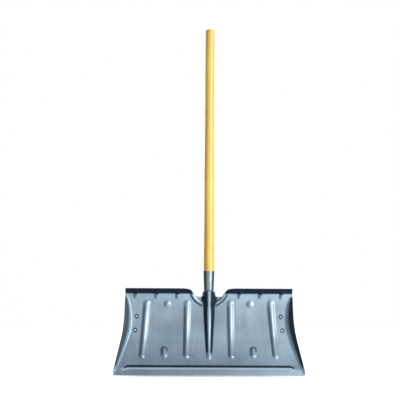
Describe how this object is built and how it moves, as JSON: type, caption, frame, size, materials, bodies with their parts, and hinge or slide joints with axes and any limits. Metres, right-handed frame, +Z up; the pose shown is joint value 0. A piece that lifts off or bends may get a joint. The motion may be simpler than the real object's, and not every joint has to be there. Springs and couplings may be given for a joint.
{
  "type": "snow shovel",
  "caption": "Steel snow shovel: wide curved ribbed blade with folded top and sides, welded tube socket and a straight round wooden handle.",
  "frame": {"origin": "on the ground line, below the middle of the whole shovel as it stands on its cutting edge with the handle upright", "axes": "+Z up along the handle; -Y is the hollow front of the blade; X is across the blade, which is symmetric about X = 0"},
  "size_m": [0.631, 0.1257, 1.168],
  "materials": {
    "blade_steel": "semi-gloss blue-grey metallic lacquer over pressed steel sheet",
    "socket_steel": "the same blue-grey lacquer over a rolled steel tube",
    "handle_wood": "clear satin varnish over straight-grained pale wood",
    "nail_steel": "dull steel",
    "weld_steel": "rippled weld metal under dark lacquer"
  },
  "bodies": {
    "root": {"blade": "blade_steel", "socket": "socket_steel", "handle": "handle_wood", "retaining_nail": "nail_steel", "weld_mouth": "weld_steel", "weld_ear_left": "weld_steel", "weld_ear_right": "weld_steel", "weld_rear_left": "weld_steel", "weld_rear_right": "weld_steel"}
  },
  "joints": []
}
